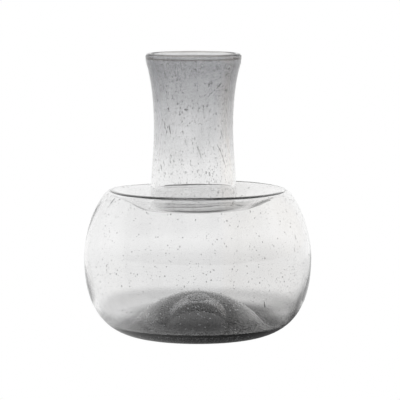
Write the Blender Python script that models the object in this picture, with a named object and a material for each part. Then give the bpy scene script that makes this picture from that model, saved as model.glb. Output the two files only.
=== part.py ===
"""A hand-blown glass bud vase, as the zones a glassworker shapes one after another.

The vase is a squat bowl whose shoulder is folded inwards into a shallow dish. A flared neck
rises from the dish, and a thick base is pushed up from below into a kick-up.

Every zone is a closed solid of revolution. All of them are cut from one wall, which is drawn
as two curves: the outside of the glass and the inside. A point on a curve is (radius, height).
Units are metres and +Z is up. The vase stands on its foot ring, at z = 0.
"""

import math

import bmesh
import bpy
from mathutils import Vector

# Overall
HEIGHT = 0.150
SEGMENTS = 52
JOINT_GAP = 0.0003

# A handle's length as a share of the span of its curve, wherever a name ends in FULLNESS.

# Foot ring, and the hollow pushed up into the base from below
FOOT_INNER_RADIUS = 0.018
FOOT_WIDTH = 0.006
PUNT_HEIGHT = 0.013
PUNT_CROWN_FULLNESS = 0.55
PUNT_LIP_WIDTH = 0.0025
PUNT_LIP_HEIGHT = 0.005

# Floor inside the bowl: the kick-up dome and the trough around it
FLOOR_THICKNESS = 0.0095
DOME_FULLNESS = 0.46
DOME_FOOT_FULLNESS = 0.28
TROUGH_INSET = 0.017
TROUGH_THICKNESS = 0.0030
TROUGH_REACH = 0.004
HEEL_REACH = 0.006

# Bowl
BOWL_RADIUS = 0.060
WIDEST_HEIGHT = 0.042
UNDERSIDE_FULLNESS = 0.77
BELLY_FULLNESS = 0.56
SHOULDER_FULLNESS = 0.51
CREST_OUTER_FULLNESS = 0.31
BASE_JOINT_DROP = 0.024

# Folded shoulder, and the dish inside it
SHOULDER_WIDTH = 0.0142
CREST_HEIGHT = 0.0782
CREST_INNER_FULLNESS = 0.37
FOLD_DROP = 0.0027
FOLD_REACH = 0.0135

# Neck and lip
NECK_OFFSET = -0.0022
NECK_FOOT_RADIUS = 0.0226
NECK_FOOT_FULLNESS = 0.34
WAIST_RADIUS = 0.0209
WAIST_DROP = 0.039
WAIST_FULLNESS = 0.40
FLARE_FULLNESS = 0.48
LIP_RADIUS = 0.0253
LIP_OVERHANG = 0.0004
LIP_DEPTH = 0.0054
LIP_FLARE = math.radians(18)
LIP_FLARE_REACH = 0.0064

# Wall thickness, square to the outside
BASE_JOINT_WALL = 0.0026
WIDEST_WALL = 0.0016
CREST_WALL = 0.0020
FOLD_WALL = 0.0018
WAIST_WALL = 0.0032
LIP_JOINT_WALL = 0.0036

# Scar where the pontil rod was broken off
PONTIL_RADIUS = 0.0045
PONTIL_THICKNESS = 0.0014
PONTIL_RIM = 0.0005

# What follows from the sizes above
FOOT_OUTER_RADIUS = FOOT_INNER_RADIUS + FOOT_WIDTH
DOME_HEIGHT = PUNT_HEIGHT + FLOOR_THICKNESS
TROUGH_RADIUS = BOWL_RADIUS - TROUGH_INSET
BASE_JOINT_HEIGHT = WIDEST_HEIGHT - BASE_JOINT_DROP
CREST_RADIUS = BOWL_RADIUS - SHOULDER_WIDTH
DISH_WIDTH = CREST_RADIUS - NECK_FOOT_RADIUS
FOLD_TOP_HEIGHT = CREST_HEIGHT - FOLD_DROP
WAIST_HEIGHT = HEIGHT - WAIST_DROP
LIP_JOINT_RADIUS = LIP_RADIUS - LIP_OVERHANG
LIP_JOINT_HEIGHT = HEIGHT - LIP_DEPTH

# How many straight steps stand for each stretch of a curve
PUNT_STEPS = 6
UNDERSIDE_STEPS = 6
BELLY_STEPS = 4
SHOULDER_STEPS = 8
COLLAR_STEPS = 12
LOWER_NECK_STEPS = 4
UPPER_NECK_STEPS = 6
BEAD_STEPS = 8
DOME_STEPS = 8
TROUGH_STEPS = 5
PONTIL_STEPS = 3

ON_AXIS = 1e-6
HALVINGS = 40


def point(radius, height):
    """A profile point."""
    return Vector((radius, height))


def eased(share):
    """A share from 0 to 1, with a level start and end."""
    share = min(max(share, 0.0), 1.0)
    return share * share * (3 - 2 * share)


class Stretch:
    """A cubic curve that draws one stretch of the profile, in a number of straight steps."""

    def __init__(self, start, start_handle, end_handle, end, steps):
        self.corners = (start, start_handle, end_handle, end)
        self.steps = steps

    def levels(self, share):
        """The corners, and the points that halve the curve at share, in de Casteljau's way."""
        levels = [list(self.corners)]
        while len(levels[-1]) > 1:
            last = levels[-1]
            levels.append([a.lerp(b, share) for a, b in zip(last, last[1:], strict=False)])
        return levels

    def at(self, share):
        """The point at this share of the curve."""
        return self.levels(share)[3][0]

    def along(self, share):
        """The direction in which the curve runs at this share."""
        a, b = self.levels(share)[2]
        return (b - a).normalized()

    def where(self, reached):
        """The share at which a test on the point turns true."""
        low, high = 0.0, 1.0
        for _ in range(HALVINGS):
            middle = (low + high) / 2
            if reached(self.at(middle)):
                high = middle
            else:
                low = middle
        return high

    def before(self, share, steps):
        """The part of the curve before share."""
        levels = self.levels(share)
        return Stretch(*(level[0] for level in levels), steps)

    def after(self, share, steps):
        """The part of the curve after share."""
        levels = self.levels(share)
        return Stretch(*(level[-1] for level in levels[::-1]), steps)

    def points(self):
        """The curve's points, both ends included."""
        return [self.at(i / self.steps) for i in range(self.steps + 1)]

    def inside(self, start_wall, end_wall):
        """Points on the inside of a wall whose outside is this curve.

        The outside runs up the vase, so the glass lies on its left.
        """
        inner = []
        for i in range(self.steps + 1):
            share = i / self.steps
            along = self.along(share)
            wall = start_wall + (end_wall - start_wall) * eased(share)
            inner.append(self.at(share) + Vector((-along.y, along.x)) * wall)
        return inner


def shortened(points, length):
    """The points with a length taken off the start of their line."""
    points = [p.copy() for p in points]
    while (points[1] - points[0]).length <= length:
        length -= (points[1] - points[0]).length
        points.pop(0)
    points[0] += (points[1] - points[0]).normalized() * length
    return points


def trimmed(points, at_start):
    """The points with half a joint gap taken off their end, and off their start if asked."""
    points = shortened(points[::-1], JOINT_GAP / 2)[::-1]
    return shortened(points, JOINT_GAP / 2) if at_start else points


def clear_scene():
    """Remove whatever the scene starts with."""
    for thing in list(bpy.data.objects):
        bpy.data.objects.remove(thing, do_unlink=True)


def glass(name, colour):
    """Tinted glass for one zone."""
    material = bpy.data.materials.new(name + "_glass")
    material.use_nodes = True
    shader = material.node_tree.nodes["Principled BSDF"]
    shader.inputs["Base Color"].default_value = (*colour, 1)
    shader.inputs["Roughness"].default_value = 0.03
    shader.inputs["Metallic"].default_value = 0.0
    shader.inputs["Transmission Weight"].default_value = 1.0
    shader.inputs["IOR"].default_value = 1.5
    return material


def revolve(name, section, colour, shift=None):
    """Turn a closed section about the axis into a glass solid.

    shift gives how far a point at some radius is moved to the side.
    """
    mesh = bmesh.new()
    ring = [mesh.verts.new((p.x, 0, p.y)) for p in section]
    edges = [mesh.edges.new((a, b)) for a, b in zip(ring, ring[1:] + ring[:1], strict=True)]
    bmesh.ops.spin(
        mesh,
        geom=ring + edges,
        axis=(0, 0, 1),
        cent=(0, 0, 0),
        steps=SEGMENTS,
        angle=math.tau,
        use_merge=True,
    )
    bmesh.ops.remove_doubles(mesh, verts=mesh.verts, dist=ON_AXIS)
    on_axis = [e for e in mesh.edges if all(v.co.xy.length < ON_AXIS for v in e.verts)]
    bmesh.ops.delete(mesh, geom=on_axis, context="EDGES")
    bmesh.ops.recalc_face_normals(mesh, faces=mesh.faces)
    if shift is not None:
        for vert in mesh.verts:
            vert.co.x += shift(vert.co.xy.length)
    data = bpy.data.meshes.new(name)
    mesh.to_mesh(data)
    mesh.free()
    data.shade_smooth()
    data.materials.append(glass(name, colour))
    solid = bpy.data.objects.new(name, data)
    bpy.context.collection.objects.link(solid)


def neck_shift(radius):
    """The neck stands a little off the bowl's axis, as a hand-made one does."""
    return NECK_OFFSET


def collar_shift(radius):
    """The dish takes up the neck's offset, from none at the crest to all of it at the neck."""
    sloping = DISH_WIDTH * (1 - CREST_INNER_FULLNESS)
    return NECK_OFFSET * eased((NECK_FOOT_RADIUS + sloping - radius) / sloping)


def punt():
    """The hollow under the base, from the axis down to the foot ring."""
    return Stretch(
        point(0, PUNT_HEIGHT),
        point(FOOT_INNER_RADIUS * PUNT_CROWN_FULLNESS, PUNT_HEIGHT),
        point(FOOT_INNER_RADIUS - PUNT_LIP_WIDTH, PUNT_LIP_HEIGHT),
        point(FOOT_INNER_RADIUS, 0),
        PUNT_STEPS,
    )


def lower_bowl():
    """The outside from the foot ring to the widest part: the base's share and the bowl's."""
    overhang = BOWL_RADIUS - FOOT_OUTER_RADIUS
    whole = Stretch(
        point(FOOT_OUTER_RADIUS, 0),
        point(FOOT_OUTER_RADIUS + overhang * UNDERSIDE_FULLNESS, 0),
        point(BOWL_RADIUS, WIDEST_HEIGHT * (1 - BELLY_FULLNESS)),
        point(BOWL_RADIUS, WIDEST_HEIGHT),
        UNDERSIDE_STEPS + BELLY_STEPS,
    )
    share = whole.where(lambda p: p.y >= BASE_JOINT_HEIGHT)
    return whole.before(share, UNDERSIDE_STEPS), whole.after(share, BELLY_STEPS)


def build_base(underside, belly):
    """The thick base, with its foot ring, its punt and the kick-up dome above it."""
    joint = belly.inside(BASE_JOINT_WALL, WIDEST_WALL)[0]
    under_trough = underside.at(underside.where(lambda p: p.x >= TROUGH_RADIUS))
    lowest = point(TROUGH_RADIUS, under_trough.y + TROUGH_THICKNESS)
    dome = Stretch(
        point(0, DOME_HEIGHT),
        point(TROUGH_RADIUS * DOME_FULLNESS, DOME_HEIGHT),
        lowest - Vector((TROUGH_RADIUS * DOME_FOOT_FULLNESS, 0)),
        lowest,
        DOME_STEPS,
    )
    trough = Stretch(
        lowest,
        lowest + Vector((TROUGH_REACH, 0)),
        joint - belly.along(0) * HEEL_REACH,
        joint,
        TROUGH_STEPS,
    )
    outer = trimmed(punt().points() + underside.points(), at_start=False)
    inner = trimmed(dome.points() + trough.points()[1:], at_start=False)
    revolve("punted_base", outer + inner[::-1], (0.30, 0.30, 0.31))


def build_bowl(belly):
    """The thin blown wall, from the base to the crest of the shoulder."""
    rise = CREST_HEIGHT - WIDEST_HEIGHT
    shoulder = Stretch(
        point(BOWL_RADIUS, WIDEST_HEIGHT),
        point(BOWL_RADIUS, WIDEST_HEIGHT + rise * SHOULDER_FULLNESS),
        point(CREST_RADIUS + SHOULDER_WIDTH * CREST_OUTER_FULLNESS, CREST_HEIGHT),
        point(CREST_RADIUS, CREST_HEIGHT),
        SHOULDER_STEPS,
    )
    outer = belly.points() + shoulder.points()[1:]
    inner = belly.inside(BASE_JOINT_WALL, WIDEST_WALL)
    inner += shoulder.inside(WIDEST_WALL, CREST_WALL)[1:]
    section = trimmed(outer, at_start=True) + trimmed(inner, at_start=True)[::-1]
    revolve("bowl_wall", section, (0.90, 0.90, 0.91))


def build_collar():
    """The shoulder folded inwards into a dish, down to the foot of the neck."""
    dish = Stretch(
        point(CREST_RADIUS, CREST_HEIGHT),
        point(CREST_RADIUS - DISH_WIDTH * CREST_INNER_FULLNESS, CREST_HEIGHT),
        point(NECK_FOOT_RADIUS, FOLD_TOP_HEIGHT - FOLD_REACH),
        point(NECK_FOOT_RADIUS, FOLD_TOP_HEIGHT),
        COLLAR_STEPS,
    )
    outer = trimmed(dish.points(), at_start=True)
    inner = trimmed(dish.inside(CREST_WALL, FOLD_WALL), at_start=True)
    revolve("sunken_collar", outer + inner[::-1], (0.86, 0.86, 0.87), collar_shift)


def build_neck():
    """The flared neck. Returns the end of its outside and of its inside."""
    to_waist = WAIST_HEIGHT - FOLD_TOP_HEIGHT
    lower = Stretch(
        point(NECK_FOOT_RADIUS, FOLD_TOP_HEIGHT),
        point(NECK_FOOT_RADIUS, FOLD_TOP_HEIGHT + to_waist * NECK_FOOT_FULLNESS),
        point(WAIST_RADIUS, WAIST_HEIGHT - to_waist * WAIST_FULLNESS),
        point(WAIST_RADIUS, WAIST_HEIGHT),
        LOWER_NECK_STEPS,
    )
    end = point(LIP_JOINT_RADIUS, LIP_JOINT_HEIGHT)
    to_lip = LIP_JOINT_HEIGHT - WAIST_HEIGHT
    upper = Stretch(
        point(WAIST_RADIUS, WAIST_HEIGHT),
        point(WAIST_RADIUS, WAIST_HEIGHT + to_lip * FLARE_FULLNESS),
        end - Vector((math.sin(LIP_FLARE), math.cos(LIP_FLARE))) * LIP_FLARE_REACH,
        end,
        UPPER_NECK_STEPS,
    )
    outer = lower.points() + upper.points()[1:]
    inner = lower.inside(FOLD_WALL, WAIST_WALL) + upper.inside(WAIST_WALL, LIP_JOINT_WALL)[1:]
    section = trimmed(outer, at_start=True) + trimmed(inner, at_start=True)[::-1]
    revolve("neck_tube", section, (0.62, 0.62, 0.64), neck_shift)
    return outer[-1], inner[-1]


def build_lip(outer_joint, inner_joint):
    """The fire-polished bead: a rounded top, as wide as the wall at the lip."""
    bead_radius = (LIP_RADIUS - inner_joint.x) / 2
    middle = point(LIP_RADIUS - bead_radius, HEIGHT - bead_radius)
    half_gap = Vector((0, JOINT_GAP / 2))
    section = [outer_joint + half_gap]
    for step in range(BEAD_STEPS + 1):
        turn = math.pi * step / BEAD_STEPS
        section.append(middle + Vector((math.cos(turn), math.sin(turn))) * bead_radius)
    section.append(inner_joint + half_gap)
    revolve("lip_bead", section, (0.50, 0.50, 0.52), neck_shift)


def build_pontil_mark():
    """The low button of glass in the top of the punt, under the middle of the base."""
    whole = punt()
    share = whole.where(lambda p: p.x >= PONTIL_RADIUS)
    top = [p - Vector((0, JOINT_GAP)) for p in whole.before(share, PONTIL_STEPS).points()]
    middle = top[0] - Vector((0, PONTIL_THICKNESS))
    rim = top[-1] - Vector((0, PONTIL_RIM))
    button = Stretch(
        middle,
        middle.lerp(point(rim.x, middle.y), 0.5),
        rim.lerp(middle, 0.25),
        rim,
        PONTIL_STEPS,
    )
    revolve("pontil_mark", button.points() + top[::-1], (0.35, 0.35, 0.36))


def main():
    """Build the vase from the foot up."""
    clear_scene()
    underside, belly = lower_bowl()
    build_base(underside, belly)
    build_bowl(belly)
    build_collar()
    outer_joint, inner_joint = build_neck()
    build_lip(outer_joint, inner_joint)
    build_pontil_mark()


main()
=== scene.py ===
"""The looks of a hand-blown bud vase in smoke-grey seeded glass.

The vase is one closed wall of glass, turned from the same sizes as its solids, with air seeds
shut up in the wall. The smoke colour lies in the depth of the glass, in closed bodies within the
wall: a gather in the thick base and a film in the neck. Two dark brownish rings in the lip are
painted shade for the dark lines that refraction draws in the rounded rim, and solid white seeds
in the base and lip are painted highlights that glow a little. The vase stands on a plain pale
floor in soft studio light. Units are metres, +Z is up, and the camera looks along +Y.
"""

import logging
import math
import random
from collections.abc import Callable, Iterable, Sequence
from dataclasses import dataclass, field
from enum import Enum

import bpy
from mathutils import Euler, Matrix, Vector, noise


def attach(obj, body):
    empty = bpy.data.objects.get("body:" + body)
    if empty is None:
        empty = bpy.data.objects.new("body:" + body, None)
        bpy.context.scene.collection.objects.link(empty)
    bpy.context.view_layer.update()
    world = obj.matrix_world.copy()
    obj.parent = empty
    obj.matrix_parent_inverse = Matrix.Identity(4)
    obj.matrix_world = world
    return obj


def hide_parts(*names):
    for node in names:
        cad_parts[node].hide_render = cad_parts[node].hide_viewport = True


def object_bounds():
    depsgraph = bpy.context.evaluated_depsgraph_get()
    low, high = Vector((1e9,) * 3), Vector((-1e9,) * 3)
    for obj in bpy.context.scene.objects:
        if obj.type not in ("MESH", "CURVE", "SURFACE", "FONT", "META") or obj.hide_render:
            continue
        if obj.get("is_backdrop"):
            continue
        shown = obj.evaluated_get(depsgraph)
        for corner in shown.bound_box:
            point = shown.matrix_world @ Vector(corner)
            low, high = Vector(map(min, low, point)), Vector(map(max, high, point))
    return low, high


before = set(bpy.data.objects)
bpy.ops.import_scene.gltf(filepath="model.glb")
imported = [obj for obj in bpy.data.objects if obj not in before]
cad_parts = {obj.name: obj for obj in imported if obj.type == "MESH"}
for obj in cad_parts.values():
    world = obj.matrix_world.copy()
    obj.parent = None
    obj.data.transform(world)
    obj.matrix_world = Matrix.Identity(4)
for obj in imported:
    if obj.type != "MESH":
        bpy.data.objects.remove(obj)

LOG = logging.getLogger("bud_vase")
CAD_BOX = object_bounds()
BODY = "root"
MERGE = 1e-6
START_SIZE = 0.001
HALVINGS = 40
FULL_TURN = math.tau
FRONT = -math.pi / 2
CLEAR = (1.0, 1.0, 1.0, 1.0)


class Slot(Enum):
    """The record's material slots."""

    BASE = "base_glass"
    BOWL = "bowl_glass"
    NECK = "neck_glass"


class Zone(Enum):
    """The stretches of the wall, in order from the middle of the base to the lip."""

    PUNT = "punt"
    UNDERSIDE = "underside"
    BELLY = "belly"
    SHOULDER = "shoulder"
    DISH = "dish"
    LOWER_NECK = "lower neck"
    UPPER_NECK = "upper neck"


# ---------------------------------------------------------------------------------------------
# Curves
# ---------------------------------------------------------------------------------------------


def point(radius: float, height: float) -> Vector:
    """A profile point."""
    return Vector((radius, height))


def round_to(turn: float) -> Vector:
    """The direction at this angle from outwards, in the profile."""
    return Vector((math.cos(turn), math.sin(turn)))


def eased(share: float) -> float:
    """A share from 0 to 1, with a level start and end."""
    share = min(max(share, 0.0), 1.0)
    return share * share * (3 - 2 * share)


@dataclass(frozen=True)
class Stretch:
    """A cubic curve that draws one stretch of the profile."""

    start: Vector
    start_handle: Vector
    end_handle: Vector
    end: Vector

    def levels(self, share: float) -> list[list[Vector]]:
        """Halve the curve, in de Casteljau's way.

        Args:
            share: Where to halve it.

        Returns:
            The corners, and then each level of points between them, down to the point at share.
        """
        levels = [[self.start, self.start_handle, self.end_handle, self.end]]
        while len(levels[-1]) > 1:
            last = levels[-1]
            levels.append([a.lerp(b, share) for a, b in zip(last, last[1:], strict=False)])
        return levels

    def at(self, share: float) -> Vector:
        """The point at this share of the curve."""
        return self.levels(share)[3][0]

    def along(self, share: float) -> Vector:
        """The direction in which the curve runs at this share."""
        a, b = self.levels(share)[2]
        return (b - a).normalized()

    def inward(self, share: float) -> Vector:
        """The direction into the glass, for a curve that runs up the outside."""
        along = self.along(share)
        return Vector((-along.y, along.x))

    def where(self, reached: Callable[[Vector], bool]) -> float:
        """Find where the curve passes a test.

        Args:
            reached: A test on a point, false at the start and true from some share on.

        Returns:
            The share at which the test turns true.
        """
        low, high = 0.0, 1.0
        for _ in range(HALVINGS):
            middle = (low + high) / 2
            if reached(self.at(middle)):
                high = middle
            else:
                low = middle
        return high

    def before(self, share: float) -> "Stretch":
        """The part of the curve before share."""
        return Stretch(*(level[0] for level in self.levels(share)))

    def after(self, share: float) -> "Stretch":
        """The part of the curve after share."""
        return Stretch(*(level[-1] for level in self.levels(share)[::-1]))

    def points(self, steps: int) -> list[Vector]:
        """The curve's points, both ends included."""
        return [self.at(i / steps) for i in range(steps + 1)]


@dataclass(frozen=True)
class Wall:
    """A stretch of the outside with the wall's thickness at its two ends."""

    outside: Stretch
    start: float
    end: float

    def thickness(self, share: float) -> float:
        """The wall at this share of the stretch."""
        return self.start + (self.end - self.start) * eased(share)

    def within(self, share: float, depth: float) -> Vector:
        """A point in the wall.

        Args:
            share: How far along the stretch.
            depth: How deep, from 0 at the outside to 1 at the inside.

        Returns:
            The profile point.
        """
        sunk = self.outside.inward(share) * self.thickness(share) * depth
        return self.outside.at(share) + sunk

    def inside(self, steps: int) -> list[Vector]:
        """The points of the inside, both ends included."""
        return [self.within(i / steps, 1.0) for i in range(steps + 1)]


# ---------------------------------------------------------------------------------------------
# Mesh tools
# ---------------------------------------------------------------------------------------------


def deselect_all() -> None:
    """Leave nothing selected, in object mode."""
    if bpy.context.mode != "OBJECT":
        bpy.ops.object.mode_set(mode="OBJECT")
    bpy.ops.object.select_all(action="DESELECT")


def choose(piece: bpy.types.Object) -> None:
    """Make a piece the only one selected, and the active one.

    Args:
        piece: The piece.
    """
    deselect_all()
    piece.select_set(True)
    bpy.context.view_layer.objects.active = piece


def name_piece(piece: bpy.types.Object, name: str) -> bpy.types.Object:
    """Name a piece and its mesh alike.

    Args:
        piece: The piece.
        name: Its name.

    Returns:
        The piece.
    """
    piece.name = name
    piece.data.name = name
    return piece


def settle(piece: bpy.types.Object) -> None:
    """Put the piece's place into its mesh, so that its object stands at the origin."""
    choose(piece)
    bpy.ops.object.transform_apply(location=True, rotation=True, scale=True)


def turn_profile(name: str, profile: Sequence[Vector], steps: int) -> bpy.types.Object:
    """Turn a profile about Z into a closed shell.

    A plane is shrunk to one point, which is drawn out along the profile and spun.

    Args:
        name: The piece's name.
        profile: Points from one place on the axis to another.
        steps: How many steps go round.

    Returns:
        The piece, smooth and with its normals outwards.
    """
    deselect_all()
    first = profile[0]
    bpy.ops.mesh.primitive_plane_add(size=START_SIZE, location=(first.x, 0, first.y))
    piece = name_piece(bpy.context.object, name)
    settle(piece)
    bpy.ops.object.mode_set(mode="EDIT")
    bpy.ops.mesh.select_all(action="SELECT")
    bpy.ops.mesh.merge(type="CENTER")
    for a, b in zip(profile, profile[1:], strict=False):
        step = (b.x - a.x, 0, b.y - a.y)
        bpy.ops.mesh.extrude_vertices_move(TRANSFORM_OT_translate={"value": step})
    bpy.ops.mesh.select_all(action="SELECT")
    bpy.ops.mesh.spin(steps=steps, angle=FULL_TURN, center=(0, 0, 0), axis=(0, 0, 1))
    bpy.ops.mesh.select_all(action="SELECT")
    bpy.ops.mesh.remove_doubles(threshold=MERGE)
    bpy.ops.mesh.select_all(action="SELECT")
    bpy.ops.mesh.normals_make_consistent(inside=False)
    bpy.ops.object.mode_set(mode="OBJECT")
    bpy.ops.object.shade_smooth()
    return piece


def weigh(
    piece: bpy.types.Object, name: str, weight: Callable[[bpy.types.MeshVertex], float]
) -> None:
    """Give the piece a vertex group.

    Args:
        piece: The mesh piece.
        name: The group's name.
        weight: The weight of a point of the mesh, from 0 to 1.
    """
    group = piece.vertex_groups.new(name=name)
    for vertex in piece.data.vertices:
        share = weight(vertex)
        if share > 0:
            group.add([vertex.index], share, "REPLACE")


def apply_modifier(piece: bpy.types.Object, modifier: bpy.types.Modifier) -> None:
    """Apply one modifier of the piece."""
    choose(piece)
    bpy.ops.object.modifier_apply(modifier=modifier.name)


def push(piece: bpy.types.Object, group: str, direction: str, distance: float) -> None:
    """Move a weighted part of the piece.

    Args:
        piece: The mesh piece.
        group: The vertex group that says how much of the move each point takes.
        direction: X, Y or Z.
        distance: The whole move.
    """
    modifier = piece.modifiers.new("push", "DISPLACE")
    modifier.vertex_group = group
    modifier.direction = direction
    modifier.mid_level = 0.0
    modifier.strength = distance
    apply_modifier(piece, modifier)


# ---------------------------------------------------------------------------------------------
# Node tools
# ---------------------------------------------------------------------------------------------


@dataclass
class Graph:
    """A node tree, with short ways to add and join nodes."""

    tree: bpy.types.NodeTree

    def add(self, kind: str, **settings: object) -> bpy.types.Node:
        """Add a node.

        Args:
            kind: The node's type.
            settings: The node's own properties.

        Returns:
            The node.
        """
        node = self.tree.nodes.new(kind)
        for name, value in settings.items():
            setattr(node, name, value)
        return node

    def put(self, value: object, socket: bpy.types.NodeSocket) -> None:
        """Feed a socket with another socket, or set it to a plain value.

        Args:
            value: The other socket, or the value.
            socket: The socket to feed.
        """
        if isinstance(value, bpy.types.NodeSocket):
            self.tree.links.new(value, socket)
        else:
            socket.default_value = value

    def maths(self, operation: str, *values: object) -> bpy.types.NodeSocket:
        """Work something out.

        Args:
            operation: The Math node's operation.
            values: What it works on, as sockets or numbers.

        Returns:
            The result.
        """
        node = self.add("ShaderNodeMath", operation=operation)
        for value, socket in zip(values, node.inputs, strict=False):
            self.put(value, socket)
        return node.outputs[0]

    def fade(
        self, value: object, low: float, high: float, start: float = 0.0, end: float = 1.0
    ) -> bpy.types.NodeSocket:
        """Ease from one value to another.

        Args:
            value: What drives the change.
            low: Where the change starts.
            high: Where the change ends.
            start: The result up to low.
            end: The result from high on.

        Returns:
            The result.
        """
        node = self.add("ShaderNodeMapRange", interpolation_type="SMOOTHSTEP")
        for part, name in zip(
            (value, low, high, start, end),
            ("Value", "From Min", "From Max", "To Min", "To Max"),
            strict=True,
        ):
            self.put(part, node.inputs[name])
        return node.outputs["Result"]

    def distance(self, where: object, centre: tuple[float, float, float]) -> bpy.types.NodeSocket:
        """How far a place is from a centre.

        Args:
            where: The place.
            centre: The centre.

        Returns:
            The distance.
        """
        node = self.add("ShaderNodeVectorMath", operation="DISTANCE")
        self.put(where, node.inputs[0])
        self.put(centre, node.inputs[1])
        return node.outputs["Value"]

    def mix_colour(
        self, share: object, a: object, b: object, blend: str = "MIX"
    ) -> bpy.types.NodeSocket:
        """Mix two colours.

        Args:
            share: How much of the second one there is.
            a: The first colour.
            b: The second colour.
            blend: The Mix node's blend type.

        Returns:
            The mixed colour.
        """
        node = self.add("ShaderNodeMix", data_type="RGBA", blend_type=blend)
        self.put(share, node.inputs[0])
        self.put(a, node.inputs[6])
        self.put(b, node.inputs[7])
        return node.outputs[2]

    def noise(self, where: object, scale: float, detail: float = 2.0) -> bpy.types.NodeSocket:
        """Soft noise.

        Args:
            where: The place.
            scale: How fine the noise is.
            detail: How many finer layers it has.

        Returns:
            The noise, from 0 to 1.
        """
        node = self.add("ShaderNodeTexNoise")
        self.put(where, node.inputs["Vector"])
        self.put(scale, node.inputs["Scale"])
        self.put(detail, node.inputs["Detail"])
        return node.outputs[0]

    def squeeze(self, where: object, scale: tuple[float, float, float]) -> bpy.types.NodeSocket:
        """Scale each axis of a place.

        Args:
            where: The place.
            scale: The scale of X, Y and Z.

        Returns:
            The scaled place.
        """
        node = self.add("ShaderNodeMapping")
        self.put(where, node.inputs["Vector"])
        self.put(scale, node.inputs["Scale"])
        return node.outputs[0]

    def across(self) -> tuple[bpy.types.NodeSocket, dict[str, bpy.types.NodeSocket]]:
        """The place on the piece.

        Returns:
            The place, and its X, Y and Z.
        """
        place = self.add("ShaderNodeTexCoord").outputs["Object"]
        parts = self.add("ShaderNodeSeparateXYZ")
        self.put(place, parts.inputs[0])
        return place, {axis: parts.outputs[axis] for axis in "XYZ"}


def new_group(name: str, inputs: dict[str, float], outputs: dict[str, str]) -> Graph:
    """Make a shader node group.

    Args:
        name: The group's name.
        inputs: The float inputs and their values.
        outputs: The outputs and their kinds.

    Returns:
        The group, with its input and output nodes in place.
    """
    tree = bpy.data.node_groups.new(name, "ShaderNodeTree")
    for label, value in inputs.items():
        socket = tree.interface.new_socket(label, in_out="INPUT", socket_type="NodeSocketFloat")
        socket.default_value = value
    for label, kind in outputs.items():
        tree.interface.new_socket(label, in_out="OUTPUT", socket_type=kind)
    graph = Graph(tree)
    graph.add("NodeGroupInput", name="given")
    graph.add("NodeGroupOutput", name="made")
    return graph


# ---------------------------------------------------------------------------------------------
# Finishes
# ---------------------------------------------------------------------------------------------


@dataclass(frozen=True)
class Waviness:
    """The slow waves and fine cords that hand blowing leaves on glass, as a height."""

    slow_scale: float = 38.0
    fine_scale: float = 160.0
    upright: float = 0.30
    slow_share: float = 0.7
    slow_detail: float = 1.0
    fine_detail: float = 2.0

    def group(self) -> bpy.types.NodeTree:
        """Build the node group once.

        Returns:
            The group, which gives a height from 0 to 1.
        """
        name = "blown_glass_waves"
        if name in bpy.data.node_groups:
            return bpy.data.node_groups[name]
        graph = new_group(name, {}, {"Height": "NodeSocketFloat"})
        place = graph.across()[0]
        drawn = graph.squeeze(place, (1.0, 1.0, self.upright))
        slow = graph.noise(drawn, self.slow_scale, self.slow_detail)
        fine = graph.noise(drawn, self.fine_scale, self.fine_detail)
        slow_part = graph.maths("MULTIPLY", slow, self.slow_share)
        fine_part = graph.maths("MULTIPLY", fine, 1 - self.slow_share)
        height = graph.maths("ADD", slow_part, fine_part)
        graph.put(height, graph.tree.nodes["made"].inputs["Height"])
        return graph.tree


@dataclass(frozen=True)
class SmokeTintAndReflection:
    """The fine drawn-out streaks in smoke glass, and a painted warm reflection: a little brown, in
    patches, on the right side, mostly on the neck.

    in_bowl is how strong the streaks are where the glass is clear, below smoke_from.
    """

    streak_scale: tuple[float, float, float] = (1.0, 1.0, 0.10)
    streaks: float = 150.0
    streak_detail: float = 3.0
    mottle: float = 45.0
    mottle_detail: float = 2.0
    dark_from: float = 0.42
    dark_to: float = 0.66
    clear: float = 0.985
    in_bowl: float = 0.25
    smoke_from: float = 0.075
    smoke_to: float = 0.100
    streak_depth: float = 0.10
    # warmth and warm_from to patches_to set the painted warm reflection on the right side of the neck.
    warmth: tuple[float, float, float] = (1.0, 0.980, 0.954)
    warm_from: float = 0.0110
    warm_to: float = 0.0150
    patches_from: float = 0.2
    patches_to: float = 0.6

    def group(self) -> bpy.types.NodeTree:
        """Build the node group once.

        Returns:
            The group, which gives the glass its colour.
        """
        name = "smoke_tint_and_painted_reflection"
        if name in bpy.data.node_groups:
            return bpy.data.node_groups[name]
        graph = new_group(name, {"Streaks": 1.0}, {"Color": "NodeSocketColor"})
        given = graph.tree.nodes["given"].outputs["Streaks"]
        place, axes = graph.across()
        streak = graph.noise(graph.squeeze(place, self.streak_scale), self.streaks, self.streak_detail)
        mottled = graph.noise(place, self.mottle, self.mottle_detail)
        both = graph.maths("MULTIPLY", graph.maths("ADD", streak, mottled), 0.5)
        dark = graph.fade(both, self.dark_from, self.dark_to)
        # The streaks follow the smoke: there are few where the glass is clear.
        smoke = graph.fade(axes["Z"], self.smoke_from, self.smoke_to, self.in_bowl, 1.0)
        amount = graph.maths("MULTIPLY", graph.maths("MULTIPLY", dark, smoke), given)
        depth = graph.maths("MULTIPLY", amount, self.streak_depth)
        kept = graph.maths("SUBTRACT", self.clear, depth)
        grey = graph.add("ShaderNodeCombineColor")
        for socket in grey.inputs[:3]:
            graph.put(kept, socket)
        # Painted warm reflection: the right side, mostly on the neck, is a little brown, in patches.
        side = graph.fade(axes["X"], self.warm_from, self.warm_to)
        reflection_patches = graph.fade(mottled, self.patches_from, self.patches_to)
        warm = graph.maths("MULTIPLY", graph.maths("MULTIPLY", side, smoke), reflection_patches)
        with_painted_reflection = graph.mix_colour(warm, grey.outputs[0], (*self.warmth, 1.0), "MULTIPLY")
        graph.put(with_painted_reflection, graph.tree.nodes["made"].inputs["Color"])
        return graph.tree


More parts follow.
